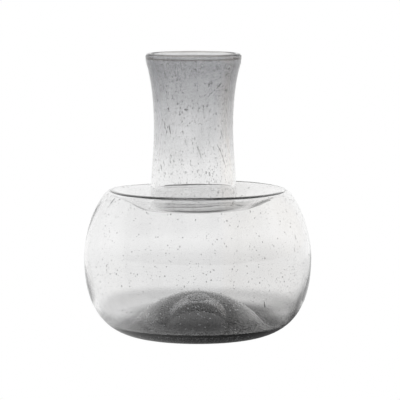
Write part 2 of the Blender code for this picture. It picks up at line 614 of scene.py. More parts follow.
@dataclass(frozen=True)
class SmokeGlass:
    """The vase's glass: fire-polished, nearly clear, and rough on the scar under its base.

    ragged is how far the scar's edge strays, and edge_fade and top_fade are how fast the
    roughness ends, outwards and upwards.
    """

    name: str = "smoke_glass"
    ior: float = 1.5
    density: float = 15.0
    absorbed: tuple[float, float, float] = (0.0, 0.0, 0.0)
    scar_radius: float = 0.0046
    scar_top: float = 0.0122
    scar_roughness: float = 0.45
    ragged: float = 0.0022
    ragged_scale: float = 420.0
    ragged_detail: float = 3.0
    edge_fade: float = 0.0008
    top_fade: float = 0.0003
    wave_height: float = 0.00002
    # The base colour: the smoke's streaks, and a painted warm reflection on the right side.
    tint_and_reflection: SmokeTintAndReflection = field(default_factory=SmokeTintAndReflection)
    waves: Waviness = field(default_factory=Waviness)

    def material(self) -> bpy.types.Material:
        """Build the material.

        Returns:
            The material.
        """
        material = bpy.data.materials.new(self.name)
        material.use_nodes = True
        graph = Graph(material.node_tree)
        shader = graph.tree.nodes["Principled BSDF"]
        shader.inputs["Metallic"].default_value = 0.0
        shader.inputs["Transmission Weight"].default_value = 1.0
        shader.inputs["IOR"].default_value = self.ior
        tint_and_reflection = graph.add("ShaderNodeGroup", node_tree=self.tint_and_reflection.group())
        graph.put(tint_and_reflection.outputs["Color"], shader.inputs["Base Color"])
        graph.put(self.roughness(graph), shader.inputs["Roughness"])
        waves = graph.add("ShaderNodeGroup", node_tree=self.waves.group())
        bump = graph.add("ShaderNodeBump")
        graph.put(waves.outputs["Height"], bump.inputs["Height"])
        graph.put(1.0, bump.inputs["Strength"])
        graph.put(self.wave_height, bump.inputs["Distance"])
        graph.put(bump.outputs["Normal"], shader.inputs["Normal"])
        depth = graph.add("ShaderNodeVolumeAbsorption")
        graph.put((*self.absorbed, 1.0), depth.inputs["Color"])
        graph.put(self.density, depth.inputs["Density"])
        graph.put(depth.outputs[0], graph.tree.nodes["Material Output"].inputs["Volume"])
        return material

    def roughness(self, graph: Graph) -> bpy.types.NodeSocket:
        """Polish the glass all over, and leave it rough where the pontil rod was broken off.

        Args:
            graph: The material's nodes.

        Returns:
            The roughness.
        """
        place, axes = graph.across()
        squared = [graph.maths("POWER", axes[axis], 2.0) for axis in "XY"]
        radius = graph.maths("SQRT", graph.maths("ADD", *squared))
        stray = graph.noise(place, self.ragged_scale, self.ragged_detail)
        edge = graph.maths("ADD", radius, graph.maths("MULTIPLY", stray, self.ragged))
        near = graph.fade(edge, self.scar_radius + self.edge_fade, self.scar_radius)
        low = graph.fade(axes["Z"], self.scar_top + self.top_fade, self.scar_top)
        scar = graph.maths("MULTIPLY", near, low)
        return graph.maths("MULTIPLY", scar, self.scar_roughness)


@dataclass(frozen=True)
class DeepSmoke:
    """Smoke in the depth of the glass: it only takes light away, and bends none."""

    name: str
    density: float
    absorbed: tuple[float, float, float] = (0.0, 0.0, 0.01)

    def material(self) -> bpy.types.Material:
        """Build the material.

        Returns:
            The material.
        """
        material = bpy.data.materials.new(self.name)
        material.use_nodes = True
        graph = Graph(material.node_tree)
        shader = graph.tree.nodes["Principled BSDF"]
        shader.inputs["Base Color"].default_value = CLEAR
        shader.inputs["Metallic"].default_value = 0.0
        shader.inputs["Roughness"].default_value = 0.0
        shader.inputs["Transmission Weight"].default_value = 1.0
        shader.inputs["IOR"].default_value = 1.0
        depth = graph.add("ShaderNodeVolumeAbsorption")
        graph.put((*self.absorbed, 1.0), depth.inputs["Color"])
        graph.put(self.density, depth.inputs["Density"])
        graph.put(depth.outputs[0], graph.tree.nodes["Material Output"].inputs["Volume"])
        return material


# ---------------------------------------------------------------------------------------------
# The vase
# ---------------------------------------------------------------------------------------------


@dataclass
class VaseWall:
    """The one wall of glass, from the pontil scar under the base to the lip and back inside.

    A size that ends in fullness is a handle's length as a share of the span of its curve. wander
    is how far the inside strays from an even wall. It fades out over calm_fade, and is gone above
    calm_depth less calm_fade under the top. back_sway is how far the fold rises at the back on one
    side and sinks on the other, down to sway_depth under its crest.
    """

    height: float = 0.150
    foot_inner_radius: float = 0.018
    foot_width: float = 0.006
    punt_height: float = 0.013
    punt_crown_fullness: float = 0.55
    punt_lip_width: float = 0.0025
    punt_lip_height: float = 0.005
    floor_thickness: float = 0.0095
    dome_fullness: float = 0.46
    dome_foot_fullness: float = 0.28
    trough_inset: float = 0.017
    trough_thickness: float = 0.0030
    trough_reach: float = 0.004
    heel_reach: float = 0.006
    bowl_radius: float = 0.060
    widest_height: float = 0.042
    underside_fullness: float = 0.77
    belly_fullness: float = 0.56
    shoulder_fullness: float = 0.51
    crest_outer_fullness: float = 0.31
    base_joint_drop: float = 0.024
    shoulder_width: float = 0.0142
    crest_height: float = 0.0782
    crest_inner_fullness: float = 0.37
    fold_drop: float = 0.0027
    fold_reach: float = 0.0135
    neck_offset: float = -0.0022
    neck_foot_radius: float = 0.0226
    neck_foot_fullness: float = 0.34
    waist_radius: float = 0.0209
    waist_drop: float = 0.039
    waist_fullness: float = 0.40
    flare_fullness: float = 0.48
    lip_radius: float = 0.0253
    lip_overhang: float = 0.0004
    lip_depth: float = 0.0054
    lip_flare: float = math.radians(18)
    lip_flare_reach: float = 0.0064
    base_joint_wall: float = 0.0026
    widest_wall: float = 0.0016
    crest_wall: float = 0.0020
    fold_wall: float = 0.0018
    waist_wall: float = 0.0032
    lip_joint_wall: float = 0.0036
    pontil_radius: float = 0.0045
    pontil_drop: float = 0.0010
    pontil_fullness: float = 0.6
    pontil_lip_width: float = 0.0012
    pontil_lip_height: float = 0.0006
    lip_rise_fullness: float = 0.4
    lip_rise_reach: float = 0.001
    wander: float = 0.00018
    wander_scale: float = 60.0
    wander_upright: float = 0.6
    calm_depth: float = 0.0162
    calm_fade: float = 0.0108
    back_sway: float = 0.0007
    sway_depth: float = 0.0108
    segments: int = 160
    steps: int = 16
    bead_steps: int = 16
    rise_steps: int = 4

    @property
    def crest_radius(self) -> float:
        """The radius of the fold's crest."""
        return self.bowl_radius - self.shoulder_width

    @property
    def fold_top(self) -> float:
        """Where the dish ends and the neck starts."""
        return self.crest_height - self.fold_drop

    @property
    def waist_height(self) -> float:
        """Where the neck is narrowest."""
        return self.height - self.waist_drop

    def punt(self) -> Stretch:
        """The hollow under the base.

        Returns:
            The curve from the axis down to the foot ring.
        """
        return Stretch(
            point(0, self.punt_height),
            point(self.foot_inner_radius * self.punt_crown_fullness, self.punt_height),
            point(self.foot_inner_radius - self.punt_lip_width, self.punt_lip_height),
            point(self.foot_inner_radius, 0),
        )

    def lower_bowl(self) -> tuple[Stretch, Stretch]:
        """The outside from the foot ring to the widest part.

        Returns:
            The base's share of it, and the bowl's.
        """
        foot = self.foot_inner_radius + self.foot_width
        whole = Stretch(
            point(foot, 0),
            point(foot + (self.bowl_radius - foot) * self.underside_fullness, 0),
            point(self.bowl_radius, self.widest_height * (1 - self.belly_fullness)),
            point(self.bowl_radius, self.widest_height),
        )
        joint = self.widest_height - self.base_joint_drop
        share = whole.where(lambda p: p.y >= joint)
        return whole.before(share), whole.after(share)

    def walls(self) -> dict[Zone, Wall]:
        """The stretches of thin wall.

        Returns:
            The walls by zone, in order from the base's edge to the lip.
        """
        rise = self.crest_height - self.widest_height
        widest = point(self.bowl_radius, self.widest_height)
        crest = point(self.crest_radius, self.crest_height)
        fold = point(self.neck_foot_radius, self.fold_top)
        waist = point(self.waist_radius, self.waist_height)
        lip = point(self.lip_radius - self.lip_overhang, self.height - self.lip_depth)
        dish = self.crest_radius - self.neck_foot_radius
        to_waist = self.waist_height - self.fold_top
        to_lip = lip.y - self.waist_height
        flare = Vector((math.sin(self.lip_flare), math.cos(self.lip_flare)))
        shoulder = Stretch(
            widest,
            widest + point(0, rise * self.shoulder_fullness),
            crest + point(self.shoulder_width * self.crest_outer_fullness, 0),
            crest,
        )
        hollow = Stretch(
            crest,
            crest - point(dish * self.crest_inner_fullness, 0),
            fold - point(0, self.fold_reach),
            fold,
        )
        lower = Stretch(
            fold,
            fold + point(0, to_waist * self.neck_foot_fullness),
            waist - point(0, to_waist * self.waist_fullness),
            waist,
        )
        upper = Stretch(
            waist,
            waist + point(0, to_lip * self.flare_fullness),
            lip - flare * self.lip_flare_reach,
            lip,
        )
        return {
            Zone.BELLY: Wall(self.lower_bowl()[1], self.base_joint_wall, self.widest_wall),
            Zone.SHOULDER: Wall(shoulder, self.widest_wall, self.crest_wall),
            Zone.DISH: Wall(hollow, self.crest_wall, self.fold_wall),
            Zone.LOWER_NECK: Wall(lower, self.fold_wall, self.waist_wall),
            Zone.UPPER_NECK: Wall(upper, self.waist_wall, self.lip_joint_wall),
        }

    def floor(self) -> tuple[Stretch, Stretch]:
        """The inside of the base.

        Returns:
            The kick-up dome, and the trough around it.
        """
        underside, belly = self.lower_bowl()
        joint = Wall(belly, self.base_joint_wall, self.widest_wall).within(0.0, 1.0)
        radius = self.bowl_radius - self.trough_inset
        under = underside.at(underside.where(lambda p: p.x >= radius))
        lowest = point(radius, under.y + self.trough_thickness)
        top = self.punt_height + self.floor_thickness
        dome = Stretch(
            point(0, top),
            point(radius * self.dome_fullness, top),
            lowest - point(radius * self.dome_foot_fullness, 0),
            lowest,
        )
        trough = Stretch(
            lowest,
            lowest + point(self.trough_reach, 0),
            joint - belly.along(0) * self.heel_reach,
            joint,
        )
        return dome, trough

    def underneath(self) -> list[Vector]:
        """The outside under the base.

        Returns:
            The points across the pontil scar, down the punt, and out to the bowl.
        """
        punt = self.punt()
        edge = punt.where(lambda p: p.x >= self.pontil_radius)
        rim = punt.at(edge)
        middle = point(0, self.punt_height - self.pontil_drop)
        scar = Stretch(
            middle,
            point(rim.x * self.pontil_fullness, middle.y),
            rim - point(self.pontil_lip_width, self.pontil_lip_height),
            rim,
        )
        under = scar.points(self.steps // 2) + punt.after(edge).points(self.steps)[1:]
        return under + self.lower_bowl()[0].points(self.steps)

    def lip(self, outer: Vector, inner: Vector) -> list[Vector]:
        """The fire-polished bead.

        Args:
            outer: Where the outside ends.
            inner: Where the inside ends.

        Returns:
            The points over the lip, from outer to inner.
        """
        radius = (self.lip_radius - inner.x) / 2
        middle = point(self.lip_radius - radius, self.height - radius)
        bead = []
        for step in range(self.bead_steps + 1):
            bead.append(middle + round_to(math.pi * step / self.bead_steps) * radius)
        rise = Stretch(
            outer,
            outer.lerp(bead[0], self.lip_rise_fullness),
            bead[0] - point(0, self.lip_rise_reach),
            bead[0],
        )
        return rise.points(self.rise_steps)[1:-1] + bead

    def profile(self) -> list[Vector]:
        """The whole section.

        Returns:
            The points from the axis under the base to the axis on the dome.
        """
        walls = list(self.walls().values())
        outer, inner = self.underneath(), []
        for wall in walls:
            outer += wall.outside.points(self.steps)[1:]
            inner += wall.inside(self.steps)[0 if not inner else 1 :]
        dome, trough = self.floor()
        ground = dome.points(self.steps * 2) + trough.points(self.steps)[1:-1]
        return outer + self.lip(outer[-1], inner[-1]) + (ground + inner)[::-1]

    def lean(self, place: Vector) -> float:
        """How much of the neck's offset a point takes: none at the crest, all at the neck.

        Args:
            place: The point.

        Returns:
            The share, from 0 to 1.
        """
        if place.z < self.fold_top - self.fold_reach:
            return 0.0
        sloping = (self.crest_radius - self.neck_foot_radius) * (1 - self.crest_inner_fullness)
        radius = place.xy.length
        above = place.z > self.crest_height
        return 1.0 if above else eased((self.neck_foot_radius + sloping - radius) / sloping)

    def wandering(self, vertex: bpy.types.MeshVertex) -> float:
        """How far the inside wanders here from an even wall. The outside stays.

        Args:
            vertex: A point of the wall.

        Returns:
            The share of the wander, from 0 to 1.
        """
        place, normal = vertex.co, vertex.normal
        if place.z > self.crest_height:
            away = Vector((place.x, place.y, 0))
        else:
            away = place - Vector((0, 0, self.widest_height))
        if normal.dot(away) > 0:
            return 0.0
        above_base = eased((place.z - self.punt_height) / (self.widest_height - self.punt_height))
        below_lip = 1 - eased((place.z - (self.height - self.calm_depth)) / self.calm_fade)
        drawn = Vector((place.x, place.y, place.z * self.wander_upright))
        slow = noise.noise(drawn * self.wander_scale)
        return min(max(0.5 + slow, 0.0), 1.0) * below_lip * above_base

    def sway(self, place: Vector, side: float) -> float:
        """How much of the fold's rise on one side of the back a point takes.

        Args:
            place: The point.
            side: 1 for the right and -1 for the left.

        Returns:
            The share, from 0 to 1.
        """
        if place.z > self.crest_height + MERGE:
            return 0.0
        low = self.crest_height - self.sway_depth
        lifted = eased((place.z - low) / (self.fold_top - low))
        dish = self.crest_radius - self.neck_foot_radius
        outward = eased((place.xy.length - self.neck_foot_radius) / dish)
        behind = eased(place.y / self.crest_radius)
        beside = eased(0.5 + side * place.x / self.crest_radius)
        return lifted * outward * behind * beside

    def build(self) -> bpy.types.Object:
        """Turn the wall, let its inside wander, and set the neck off the bowl's axis.

        Returns:
            The piece.
        """
        piece = turn_profile("vase_glass", self.profile(), self.segments)
        weigh(piece, "inside", self.wandering)
        push(piece, "inside", "NORMAL", self.wander)
        self.shift_neck(piece)
        for name, side in (("right", 1.0), ("left", -1.0)):
            weigh(piece, name, lambda vertex, s=side: self.sway(vertex.co, s))
            push(piece, name, "Z", side * self.back_sway)
        return piece

    def shift_neck(self, piece: bpy.types.Object) -> None:
        """Set the neck off the bowl's axis, in the glass or in a piece within it."""
        weigh(piece, "neck", lambda vertex: self.lean(vertex.co))
        push(piece, "neck", "X", self.neck_offset)


@dataclass(frozen=True)
class BaseSmoke:
    """The dark gather that fills the base and thins out up the heel.

    top is where it ends at the outside, full_below is where it starts to thin, skin is how far it
    stays inside the glass, and film is how thick it still is at its top, as a share of skin.
    """

    wall: VaseWall
    name: str
    top: float
    full_below: float
    skin: float
    film: float = 0.25
    segments: int = 96
    steps: int = 16

    def outer(self, height: float) -> tuple[Vector, Vector]:
        """The outside at a height.

        Args:
            height: The height.

        Returns:
            The point there, and the direction into the glass.
        """
        for curve in self.wall.lower_bowl():
            if height <= curve.end.y:
                share = curve.where(lambda p: p.y >= height)
                return curve.at(share), curve.inward(share)
        raise ValueError(height)

    def trough_share(self, height: float) -> float:
        """Where the rising side of the trough reaches a height.

        Args:
            height: The height.

        Returns:
            The share of the trough's curve.
        """
        trough = self.wall.floor()[1]
        side = trough.start.x + self.wall.trough_reach
        return trough.where(lambda p: p.x > side and p.y >= height)

    def heel(self) -> tuple[list[Vector], list[Vector]]:
        """The smoke up the heel, where it thins out to its top.

        Returns:
            The points of its outside, and those of its inside.
        """
        climb, back = [], []
        for step in range(self.steps + 1):
            height = self.full_below / 2 + (self.top - self.full_below / 2) * step / self.steps
            edge, inward = self.outer(height)
            climb.append(edge + inward * self.skin)
            if height >= self.full_below:
                across = self.inner(height) - edge
                left = 1 - eased((height - self.full_below) / (self.top - self.full_below))
                keep = self.skin / across.length
                thin = keep * (1 + self.film)
                back.append(edge + across * (thin + (1 - thin - keep) * left))
        return climb, back

    def inner(self, height: float) -> Vector:
        """The inside of the heel at a height.

        Args:
            height: The height.

        Returns:
            The point there.
        """
        trough = self.wall.floor()[1]
        if height <= trough.end.y:
            return trough.at(self.trough_share(height))
        belly = self.wall.walls()[Zone.BELLY]
        share = belly.outside.where(lambda p: p.y >= height)
        return belly.within(share, 1.0)

    def section(self) -> list[Vector]:
        """The section.

        Returns:
            The points from the axis under the base to the axis in the dome.
        """
        underside = self.wall.lower_bowl()[0]
        dome, trough = self.wall.floor()
        punt = self.wall.punt()
        skin, steps = self.skin, self.steps
        low = [point(0, self.wall.punt_height + skin)]
        low += [punt.at(i / steps) + punt.inward(i / steps) * skin for i in range(1, steps)]
        foot = underside.where(lambda p: p.y >= self.full_below / 2)
        low += [
            underside.at(foot * i / steps) + underside.inward(foot * i / steps) * skin
            for i in range(1, steps)
        ]
        climb, back = self.heel()
        high = [point(0, dome.start.y - skin)]
        high += [dome.at(i / steps) - dome.inward(i / steps) * skin for i in range(1, steps)]
        return low + climb + back[::-1] + self.ground(trough)[::-1] + high[::-1]

    def ground(self, trough: Stretch) -> list[Vector]:
        """The smoke's top along the trough.

        Args:
            trough: The trough's curve.

        Returns:
            The points, outwards to where the smoke starts to thin.
        """
        end = self.trough_share(self.full_below) / self.steps
        return [
            trough.at(end * i) - trough.inward(end * i) * self.skin for i in range(self.steps)
        ]

    def build(self) -> bpy.types.Object:
        """Turn the gather."""
        return turn_profile(self.name, self.section(), self.segments)


@dataclass(frozen=True)
class HeelSmoke(BaseSmoke):
    """The darkest smoke, in a ring where the base turns up into the bowl."""

    start: float = 0.028

    def section(self) -> list[Vector]:
        """The section.

        Returns:
            The points once round the ring.
        """
        underside = self.wall.lower_bowl()[0]
        dome, trough = self.wall.floor()
        skin, steps = self.skin, self.steps
        first = underside.where(lambda p: p.x >= self.start)
        foot = underside.where(lambda p: p.y >= self.full_below / 2)
        low = []
        for step in range(steps):
            share = first + (foot - first) * step / steps
            low.append(underside.at(share) + underside.inward(share) * skin)
        climb, back = self.heel()
        inward = []
        for step in range(1, steps):
            radius = dome.end.x + (self.start - dome.end.x) * step / steps
            top = dome.at(dome.where(lambda p, r=radius: p.x >= r)) - point(0, skin)
            bottom = underside.at(underside.where(lambda p, r=radius: p.x >= r)) + point(0, skin)
            inward.append(top.lerp(bottom, eased(step / steps)))
        return low + climb + back[::-1] + self.ground(trough)[::-1] + inward + low[:1]


@dataclass(frozen=True)
class NeckSmoke:
    """The smoke in the neck: a film above the dish, the whole wall under the lip, then clear.

    low is where it starts, skin is how far it stays inside the glass, power says how it thickens
    with height, film is its least thickness as a share of the wall, and cap is how far its rounded
    top reaches into the bead.
    """

    wall: VaseWall
    name: str = "neck_smoke"
    low: float = 0.088
    skin: float = 0.0003
    power: float = 1.15
    film: float = 0.02
    cap: float = 0.0036
    segments: int = 96
    steps: int = 18

    def share_at(self, height: float) -> float:
        """How much of the wall the smoke fills at this height."""
        return max((height - self.low) / (self.wall.height - self.low), 0.0) ** self.power

    def section(self) -> list[Vector]:
        """The section.

        Returns:
            The points once round the smoke.
        """
        outer, inner = [], []
        walls = self.wall.walls()
        for wall in (walls[Zone.LOWER_NECK], walls[Zone.UPPER_NECK]):
            start = wall.outside.where(lambda p: p.y >= self.low)
            for step in range(1 if outer else 0, self.steps + 1):
                share = start + (1 - start) * step / self.steps
                full = wall.thickness(share)
                depth = self.skin / full
                filled = (1 - 2 * depth) * self.share_at(wall.outside.at(share).y)
                outer.append(wall.within(share, depth))
                inner.append(wall.within(share, depth + max(filled, self.film)))
        middle, half = (outer[-1] + inner[-1]) / 2, (outer[-1] - inner[-1]) / 2
        top = []
        for step in range(1, self.steps):
            turn = math.pi * step / self.steps
            top.append(middle + half * math.cos(turn) + point(0, self.cap * math.sin(turn)))
        return outer + top + inner[::-1] + outer[:1]

    def build(self) -> bpy.types.Object:
        """Turn the smoke, and set it off the bowl's axis with the neck.

        Returns:
            The piece.
        """
        piece = turn_profile(self.name, self.section(), self.segments)
        self.wall.shift_neck(piece)
        return piece


@dataclass(frozen=True)
class LipShadeRing:
    """A dark, brownish ring of absorbing glass that runs round in the bead: painted shade for the dark
    lines that refraction draws in the rounded rim.

    turn is where it lies in the bead's section, as an angle up from outwards, and skin is how far
    it stays inside the glass.
    """

    wall: VaseWall
    name: str
    radius: float
    turn: float
    skin: float = 0.00025
    segments: int = 96
    steps: int = 10

    def build(self) -> bpy.types.Object:
        """Turn the cord, and set it off the bowl's axis with the neck.

        Returns:
            The piece.
        """
        wall = self.wall.walls()[Zone.UPPER_NECK]
        bead = (self.wall.lip_radius - wall.within(1.0, 1.0).x) / 2
        out = bead - self.skin - self.radius
        middle = point(self.wall.lip_radius - bead, self.wall.height - bead)
        middle += round_to(self.turn) * out
        ring = [
            middle + round_to(FULL_TURN * i / self.steps) * self.radius for i in range(self.steps)
        ]
        piece = turn_profile(self.name, ring + ring[:1], self.segments)
        self.wall.shift_neck(piece)
        return piece


@dataclass(frozen=True)
class PaintedSeedGlints:
    """Painted highlights on the larger seeds in the dark glass: solid white balls, in patches of white
    and grey, that glow a little, in place of the light that real air seeds reflect.
    """

    name: str = "painted_seed_glints"
    bright: tuple[float, float, float] = (0.90, 0.91, 0.92)
    dull: tuple[float, float, float] = (0.55, 0.56, 0.58)
    patch_scale: float = 900.0
    patch_from: float = 0.4
    patch_to: float = 0.6
    roughness: float = 0.35
    # Painted glow: the seeds give off light in their own colour, though they are no lamp.
    painted_glow: float = 0.22

    def material(self) -> bpy.types.Material:
        """Build the material.

        Returns:
            The material.
        """
        material = bpy.data.materials.new(self.name)
        material.use_nodes = True
        graph = Graph(material.node_tree)
        shader = graph.tree.nodes["Principled BSDF"]
        place = graph.across()[0]
        speckle = graph.noise(place, self.patch_scale, 1.0)
        patch = graph.fade(speckle, self.patch_from, self.patch_to)
        colour = graph.mix_colour(patch, (*self.dull, 1.0), (*self.bright, 1.0))
        graph.put(colour, shader.inputs["Base Color"])
        graph.put(self.roughness, shader.inputs["Roughness"])
        # Painted highlight and glow: the seeds shine with their own colour.
        graph.put(colour, shader.inputs["Emission Color"])
        graph.put(self.painted_glow, shader.inputs["Emission Strength"])
        return material


@dataclass(frozen=True)
class SeedBand:
    """How one stretch of the wall is seeded: how many seeds, their radii, and how drawn out."""

    zone: Zone
    count: int
    smallest: float
    largest: float
    drawn: float


@dataclass(frozen=True)
class Streak:
    """One bubble that stands out: where it lies, its size, and how it was drawn out.

    turn is the angle in degrees round from the front, to the right. lean is the angle in degrees
    from upright, with its foot to the right. depth is its place in the wall, from the outside.
    """

    turn: float
    height: float
    length: float
    width: float
    lean: float = 0.0
    depth: float = 0.5


@dataclass
class Seeds:
    """The air seeds in the glass. Each is a small closed hollow in the wall, but for the caught seeds,
    which are solid white balls with painted highlights.

    fill is the most of the wall's thickness that a seed's radius takes, clear is how far a seed
    stays inside the glass, lean is how far the seeds stray from upright, and rarity says how much
    rarer the large ones are. base_fill, base_clear, base_reach and flat say the same of those in
    the base, with how far out they lie, in bowl radii, and how flat they are.
    """

    wall: VaseWall
    random_start: int = 31
    fill: float = 0.3
    clear: float = 0.0001
    lean: float = 0.09
    rarity: int = 3
    base_fill: float = 0.2
    base_clear: float = 2.0
    base_reach: float = 0.8
    base_smallest: float = 0.00016
    base_largest: float = 0.00056
    flat: float = 0.9
    bands: tuple[SeedBand, ...] = (
        SeedBand(Zone.BELLY, 950, 0.00011, 0.00038, 1.4),
        SeedBand(Zone.SHOULDER, 900, 0.00011, 0.00038, 1.4),
        SeedBand(Zone.DISH, 240, 0.00013, 0.00045, 1.8),
        SeedBand(Zone.LOWER_NECK, 900, 0.00010, 0.00029, 2.4),
        SeedBand(Zone.UPPER_NECK, 1350, 0.00010, 0.00033, 2.2),
    )
    base_count: int = 260
    # The caught seeds in the upper base are painted highlights: solid white balls, not hollows.
    caught_count: int = 560
    caught_smallest: float = 0.00018
    caught_largest: float = 0.00060
    caught_rarity: int = 2
    caught_lowest: float = 0.85
    caught_near: float = 0.24
    caught_far: float = 0.82
    # Larger bubbles in the lip, built with the caught seeds as painted highlights.
    bright: tuple[Streak, ...] = (
        Streak(50, 0.1436, 0.0021, 0.0020, 0, 0.3),
        Streak(11, 0.1443, 0.0014, 0.0014, 0, 0.22),
        Streak(33, 0.1440, 0.0014, 0.0014, 0, 0.22),
        Streak(-12, 0.1435, 0.0010, 0.0010, 0, 0.2),
        Streak(-33, 0.1444, 0.0009, 0.0009, 0, 0.2),
    )
    streaks: tuple[Streak, ...] = (
        Streak(-38, 0.1111, 0.0059, 0.0007, 13),
        Streak(41, 0.1011, 0.0058, 0.0005, 30),
        Streak(48, 0.0956, 0.0070, 0.0006, 18),
        Streak(47, 0.1086, 0.0046, 0.0006, 20),
        Streak(8, 0.1002, 0.0057, 0.0006, 22),
        Streak(-52, 0.0909, 0.0030, 0.0007, 15),
        Streak(51, 0.1424, 0.0010, 0.0022, 0),
        Streak(-21, 0.1189, 0.0013, 0.0010, 10),
        Streak(-11, 0.1216, 0.0012, 0.0022, 0),
        Streak(39, 0.1340, 0.0022, 0.0009, -18),
        Streak(22, 0.1347, 0.0012, 0.0010, 0),
        Streak(21, 0.1236, 0.0013, 0.0009, 0),
        Streak(36, 0.1193, 0.0013, 0.0009, 0),
        Streak(-48, 0.1128, 0.0042, 0.0006, 2),
        Streak(-40, 0.1218, 0.0012, 0.0009, 0),
        Streak(23, 0.0881, 0.0024, 0.0009, 12),
        Streak(18, 0.0889, 0.0018, 0.0008, 0),
        Streak(-16, 0.1098, 0.0018, 0.0007, 14),
        Streak(50, 0.1397, 0.0018, 0.0010, 0),
        Streak(-62, 0.0745, 0.0046, 0.0010, -18),
        Streak(37, 0.0230, 0.0052, 0.0007, 22),
        Streak(-52, 0.0420, 0.0016, 0.0006, 10),
        Streak(58, 0.0500, 0.0030, 0.0005, 4),
        Streak(61, 0.0560, 0.0030, 0.0005, 2),
    )

    def model_seed(self, hollow: bool) -> bpy.types.Object:
        """Model one seed of radius 1.

        Args:
            hollow: Whether it is a hollow in the glass, with its faces turned to the air in it.

        Returns:
            The seed.
        """
        deselect_all()
        bpy.ops.mesh.primitive_ico_sphere_add(subdivisions=1, radius=1.0)
        seed = name_piece(bpy.context.object, "seed")
        if hollow:
            bpy.ops.object.mode_set(mode="EDIT")
            bpy.ops.mesh.select_all(action="SELECT")
            bpy.ops.mesh.flip_normals()
            bpy.ops.object.mode_set(mode="OBJECT")
        bpy.ops.object.shade_smooth()
        return seed

    def in_wall(self, place: Vector, along: Vector, turn: float, lean: float) -> Matrix:
        """The frame of a seed.

        Args:
            place: Its profile point.
            along: The direction that the wall runs in there.
            turn: Its angle about the axis.
            lean: How far it leans from the wall's direction, in the wall.

        Returns:
            A matrix whose Z runs along the seed, and whose place is the seed's.
        """
        shift = self.wall.neck_offset * self.wall.lean(Vector((place.x, 0, place.y)))
        spin = Matrix.Rotation(turn, 4, "Z")
        at = spin @ Vector((place.x, 0, place.y)) + Vector((shift, 0, 0))
        tilt = Matrix.Rotation(math.atan2(along.x, along.y), 4, "Y")
        rolled = Matrix.Rotation(lean, 4, "X")
        return Matrix.Translation(at) @ spin @ tilt @ rolled

    def frames(self) -> Iterable[Matrix]:
        """Scatter the seeds.

        Yields:
            The place, turn and size of every seed in the walls, and then in the base.
        """
        dice = random.Random(self.random_start)
        walls = self.wall.walls()
        for band in self.bands:
            for _ in range(band.count):
                yield self.in_band(dice, band, walls[band.zone])
        spread = self.base_largest - self.base_smallest
        for _ in range(self.base_count):
            size = self.base_smallest + spread * dice.random() ** self.rarity
            yield self.in_base(dice, size, 0.0, self.base_reach)

    def in_band(self, dice: random.Random, band: SeedBand, wall: Wall) -> Matrix:
        """The frame of one seed in a stretch of the wall.

        Args:
            dice: The source of chance.
            band: How the stretch is seeded.
            wall: The stretch.

        Returns:
            Its place, turn and size.
        """
        share = dice.random()
        size = band.smallest + (band.largest - band.smallest) * dice.random() ** self.rarity
        size = min(size, wall.thickness(share) * self.fill)
        margin = (size + self.clear) / wall.thickness(share)
        place = wall.within(share, dice.uniform(margin, 1 - margin))
        drawn = 1 + (band.drawn - 1) * 2 * dice.random() ** 2
        turn, lean = dice.uniform(0, FULL_TURN), dice.gauss(0, self.lean)
        frame_at = self.in_wall(place, wall.outside.along(share), turn, lean)
        return frame_at @ Matrix.Diagonal((size, size, size * drawn, 1))

    def in_base(self, dice: random.Random, size: float, lowest: float, reach: float) -> Matrix:
        """The frame of one seed in the base.

        Args:
            dice: The source of chance.
            size: The seed's radius.
            lowest: The least share of the glass's depth that lies under it.
            reach: How far out it may lie, as a share of the bowl's radius.

        Returns:
            Its place and size.
        """
        radius = self.wall.bowl_radius * reach * math.sqrt(dice.random())
        top = self.height_at(self.wall.floor(), radius)
        bottom = self.height_at((self.wall.punt(), self.wall.lower_bowl()[0]), radius)
        size = min(size, (top - bottom) * self.base_fill)
        low, high = bottom + size * self.base_clear, top - size * self.base_clear
        height = low + (high - low) * dice.uniform(lowest, 1.0)
        place = Matrix.Rotation(dice.uniform(0, FULL_TURN), 4, "Z") @ Vector((radius, 0, height))
        return Matrix.Translation(place) @ Matrix.Diagonal((size, size, size * self.flat, 1))

    def build_caught(self) -> bpy.types.Object:
        """Build the solid white seeds with painted highlights, in the upper part of the base and in
        the lip.

        Returns:
            All of them, as one piece.
        """
        dice = random.Random(self.random_start + 1)
        spread = self.caught_largest - self.caught_smallest
        frames = []
        for _ in range(self.caught_count):
            size = self.caught_smallest + spread * dice.random() ** self.caught_rarity
            reach = dice.uniform(self.caught_near, self.caught_far)
            frames.append(self.in_base(dice, size, self.caught_lowest, reach))
        frames += self.streak_frames(self.bright)
        copies = self.copies(self.model_seed(hollow=False), frames)
        piece = name_piece(copies[0], "painted_glint_seeds")
        self.join(piece, copies[1:])
        return piece

    def copies(self, seed: bpy.types.Object, frames: Iterable[Matrix]) -> list[bpy.types.Object]:
        """Copy a seed, each copy with its own mesh, and drop the first one.

        Args:
            seed: The seed, of radius 1.
            frames: The place, turn and size of each copy.

        Returns:
            The copies.
        """
        made = []
        for frame_at in frames:
            copy = seed.copy()
            copy.data = seed.data.copy()
            copy.data.transform(frame_at)
            bpy.context.collection.objects.link(copy)
            made.append(copy)
        bpy.data.objects.remove(seed, do_unlink=True)
        return made

    def join(self, piece: bpy.types.Object, others: list[bpy.types.Object]) -> None:
        """Join others into a piece.

        Args:
            piece: The piece that takes their meshes.
            others: The others, which are gone afterwards.
        """
        choose(piece)
        for other in others:
            other.select_set(True)
        bpy.ops.object.join()

    def height_at(self, curves: tuple[Stretch, Stretch], radius: float) -> float:
        """The height of a pair of joined curves at a radius.

        Args:
            curves: The curves, the inner one first.
            radius: The radius.

        Returns:
            The height.
        """
        for curve in curves:
            if curve.start.x <= radius <= curve.end.x:
                return curve.at(curve.where(lambda p: p.x >= radius)).y
        return curves[0].end.y

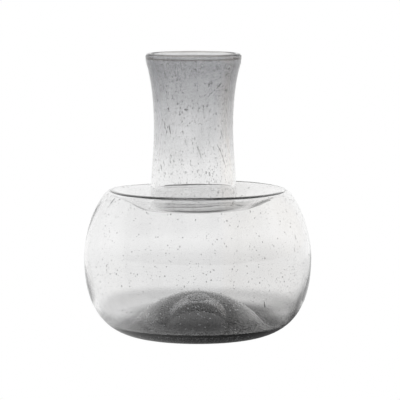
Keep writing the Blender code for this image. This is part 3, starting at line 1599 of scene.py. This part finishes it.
    def streak_frames(self, streaks: Iterable[Streak]) -> Iterable[Matrix]:
        """Lay out the bubbles that stand out.

        Args:
            streaks: The bubbles.

        Yields:
            The place, turn and size of each one.
        """
        for streak in streaks:
            for wall in self.wall.walls().values():
                if not wall.outside.start.y <= streak.height < wall.outside.end.y:
                    continue
                share = wall.outside.where(lambda p, s=streak: p.y >= s.height)
                frame_at = self.in_wall(
                    wall.within(share, streak.depth),
                    wall.outside.along(share),
                    FRONT + math.radians(streak.turn),
                    math.radians(streak.lean),
                )
                across = streak.width / 2
                thick = min(across, wall.thickness(share) * self.fill)
                yield frame_at @ Matrix.Diagonal((thick, across, streak.length / 2, 1))

    def build_into(self, glass: bpy.types.Object) -> int:
        """Shut the seeds up in the glass.

        Args:
            glass: The vase's wall, which takes the seeds into its mesh.

        Returns:
            How many seeds there are.
        """
        frames = [*self.frames(), *self.streak_frames(self.streaks)]
        copies = self.copies(self.model_seed(hollow=True), frames)
        self.join(glass, copies)
        return len(copies)


@dataclass
class Vase:
    """The whole vase: the glass with its seeds, and the smoke in it."""

    wall: VaseWall = field(default_factory=VaseWall)
    glass: SmokeGlass = field(default_factory=SmokeGlass)
    # Painted highlights and glow for the white seeds in the base and lip.
    caught: PaintedSeedGlints = PaintedSeedGlints()
    base_smoke: DeepSmoke = DeepSmoke("base_smoke", 41.0)
    heel_smoke: DeepSmoke = DeepSmoke("heel_smoke", 250.0)
    neck_smoke: DeepSmoke = DeepSmoke("neck_smoke_glass", 178.0, (0.0, 0.01, 0.05))
    # Painted shade: dark brownish rings in the lip for the dark refraction lines of the rim.
    lip_painted_shade: DeepSmoke = DeepSmoke("lip_painted_shade_glass", 620.0, (0.12, 0.06, 0.0))

    def gathers(self) -> tuple[BaseSmoke, HeelSmoke]:
        """Size the smoke in the base.

        Returns:
            The smoke in the base, and the darker smoke in its heel.
        """
        base = BaseSmoke(self.wall, "base_gather", top=0.0190, full_below=0.0095, skin=0.0004)
        heel = HeelSmoke(self.wall, "heel_gather", top=0.0172, full_below=0.0125, skin=0.0006)
        return base, heel

    def lip_shade_rings(self) -> tuple[LipShadeRing, LipShadeRing]:
        """Size the rings of painted shade in the lip.

        Returns:
            The ring under the lip's top, and the one at its widest.
        """
        upper = LipShadeRing(self.wall, "lip_shade_ring", radius=0.00048, turn=math.radians(70))
        lower = LipShadeRing(self.wall, "lip_shade_ring_lower", radius=0.00052, turn=math.radians(-36))
        return upper, lower

    def finish(self, piece: bpy.types.Object, material: bpy.types.Material, slot: Slot) -> None:
        """Give a piece its material, and attach it to the root body.

        Args:
            piece: The piece.
            material: Its material.
            slot: Not used.
        """
        piece.data.materials.clear()
        piece.data.materials.append(material)
        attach(piece, BODY)
        LOG.info("%s: %d faces", piece.name, len(piece.data.polygons))

    def build(self) -> None:
        """Build the glass with its seeds, and the smoke in its base and neck."""
        glass = self.wall.build()
        seeds = Seeds(self.wall)
        LOG.info("seeds: %d", seeds.build_into(glass))
        self.finish(glass, self.glass.material(), Slot.BOWL)
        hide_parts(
            "punted_base", "pontil_mark", "bowl_wall", "sunken_collar", "neck_tube", "lip_bead"
        )
        # The white seeds with painted highlights and glow.
        self.finish(seeds.build_caught(), self.caught.material(), Slot.BASE)
        base, heel = self.gathers()
        self.finish(base.build(), self.base_smoke.material(), Slot.BASE)
        self.finish(heel.build(), self.heel_smoke.material(), Slot.BASE)
        self.finish(NeckSmoke(self.wall).build(), self.neck_smoke.material(), Slot.NECK)
        # The two rings of painted shade in the lip.
        lip_painted_shade = self.lip_painted_shade.material()
        for shade_ring in self.lip_shade_rings():
            self.finish(shade_ring.build(), lip_painted_shade, Slot.NECK)


# ---------------------------------------------------------------------------------------------
# Studio
# ---------------------------------------------------------------------------------------------


@dataclass
class Studio:
    """A plain pale floor and a soft white room that is darker on the camera's side and overhead.

    The floor is shaded near shade_centre, fully within shade_from of it and not beyond shade_to.
    The weaker shadow behind the vase is given in the same way. warmth is the light's colour from
    the right.
    """

    floor_size: float = 60.0
    shade: float = 0.14
    shade_from: float = 0.040
    shade_to: float = 0.110
    shade_centre: tuple[float, float, float] = (0.027, 0.004, 0.0)
    shadow: float = 0.84
    shadow_from: float = 0.08
    shadow_to: float = 0.36
    shadow_centre: tuple[float, float, float] = (0.14, 0.24, 0.0)
    warmth: tuple[float, float, float] = (1.0, 0.975, 0.945)
    warm_from: float = 0.45
    warm_to: float = 0.75
    behind: float = 1.0
    front: float = 0.34
    overhead: float = 0.30
    front_from: float = -0.5
    front_to: float = 0.35
    overhead_from: float = 0.55
    overhead_to: float = 0.95
    bounces: int = 32
    through_bounces: int = 24
    mirrored_bounces: int = 16
    clear_bounces: int = 16

    def build_floor(self) -> bpy.types.Object:
        """Build the floor. Seen directly it is plain white, and through the glass it is shaded.

        Returns:
            The floor.
        """
        deselect_all()
        bpy.ops.mesh.primitive_plane_add(size=self.floor_size)
        floor = name_piece(bpy.context.object, "floor")
        material = bpy.data.materials.new("pale_floor")
        material.use_nodes = True
        graph = Graph(material.node_tree)
        shader = graph.tree.nodes["Principled BSDF"]
        shader.inputs["Base Color"].default_value = (0, 0, 0, 1)
        shader.inputs["Roughness"].default_value = 1.0
        shader.inputs["Specular IOR Level"].default_value = 0.0
        shader.inputs["Emission Color"].default_value = CLEAR
        place = graph.across()[0]
        under = graph.distance(place, self.shade_centre)
        lit = graph.fade(under, self.shade_from, self.shade_to, self.shade, self.behind)
        beyond = graph.distance(place, self.shadow_centre)
        cast = graph.fade(beyond, self.shadow_from, self.shadow_to, self.shadow, 1.0)
        lit = graph.maths("MULTIPLY", lit, cast)
        seen = graph.add("ShaderNodeLightPath").outputs["Is Camera Ray"]
        graph.put(graph.maths("MAXIMUM", lit, seen), shader.inputs["Emission Strength"])
        floor.data.materials.append(material)
        floor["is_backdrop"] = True
        return floor

    def build_world(self) -> None:
        """Light the room softly, with the camera's side and the ceiling darker."""
        world = bpy.data.worlds.new("studio")
        bpy.context.scene.world = world
        world.use_nodes = True
        graph = Graph(world.node_tree)
        sky = graph.tree.nodes["Background"]
        way = graph.add("ShaderNodeSeparateXYZ")
        graph.put(graph.add("ShaderNodeTexCoord").outputs["Generated"], way.inputs[0])
        warm = graph.fade(way.outputs["X"], self.warm_from, self.warm_to)
        colour = graph.mix_colour(warm, CLEAR, (*self.warmth, 1.0))
        graph.put(colour, sky.inputs["Color"])
        around = graph.fade(way.outputs["Y"], self.front_from, self.front_to, self.front, self.behind)
        above = graph.fade(way.outputs["Z"], self.overhead_from, self.overhead_to)
        lit = graph.add("ShaderNodeMix", data_type="FLOAT")
        graph.put(above, lit.inputs[0])
        graph.put(around, lit.inputs[2])
        graph.put(self.overhead, lit.inputs[3])
        seen = graph.add("ShaderNodeMix", data_type="FLOAT")
        graph.put(graph.add("ShaderNodeLightPath").outputs["Is Camera Ray"], seen.inputs[0])
        graph.put(lit.outputs[0], seen.inputs[2])
        graph.put(1.0, seen.inputs[3])
        graph.put(seen.outputs[0], sky.inputs["Strength"])

    def build(self) -> None:
        """Build the floor and the light."""
        self.build_floor()
        self.build_world()
        scene = bpy.context.scene
        scene.view_settings.view_transform = "Standard"
        scene.cycles.max_bounces = self.bounces
        scene.cycles.transmission_bounces = self.through_bounces
        scene.cycles.glossy_bounces = self.mirrored_bounces
        scene.cycles.transparent_max_bounces = self.clear_bounces


@dataclass
class Camera:
    """The camera: a long lens a little above the vase, looking slightly down."""

    lens: float = 252.0
    sensor: float = 36.0
    distance: float = 1.4776
    elevation: float = math.radians(5.77)
    aim: tuple[float, float, float] = (0.0012, 0.0, 0.0725)
    sees_to: float = 100.0

    def build(self) -> bpy.types.Object:
        """Place the camera and make it the scene's.

        Returns:
            The camera.
        """
        data = bpy.data.cameras.new("camera")
        data.lens = self.lens
        data.sensor_width = self.sensor
        data.clip_end = self.sees_to
        camera = bpy.data.objects.new("camera", data)
        bpy.context.collection.objects.link(camera)
        back = Vector((0, -math.cos(self.elevation), math.sin(self.elevation)))
        camera.location = Vector(self.aim) + back * self.distance
        camera.rotation_euler = Euler((math.pi / 2 - self.elevation, 0, 0))
        bpy.context.scene.camera = camera
        return camera


def save_sizes() -> None:
    """Log the CAD model's box and the visual model's box."""
    boxes = {"cad": CAD_BOX, "visual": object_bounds()}
    plain = {name: [list(map(float, corner)) for corner in box] for name, box in boxes.items()}
    LOG.info("boxes: %s", plain)


def main() -> None:
    """Build the camera, the studio and the vase."""
    logging.basicConfig(level=logging.INFO, format="%(message)s")
    Camera().build()
    Studio().build()
    Vase().build()
    save_sizes()


if __name__ == "__main__":
    main()
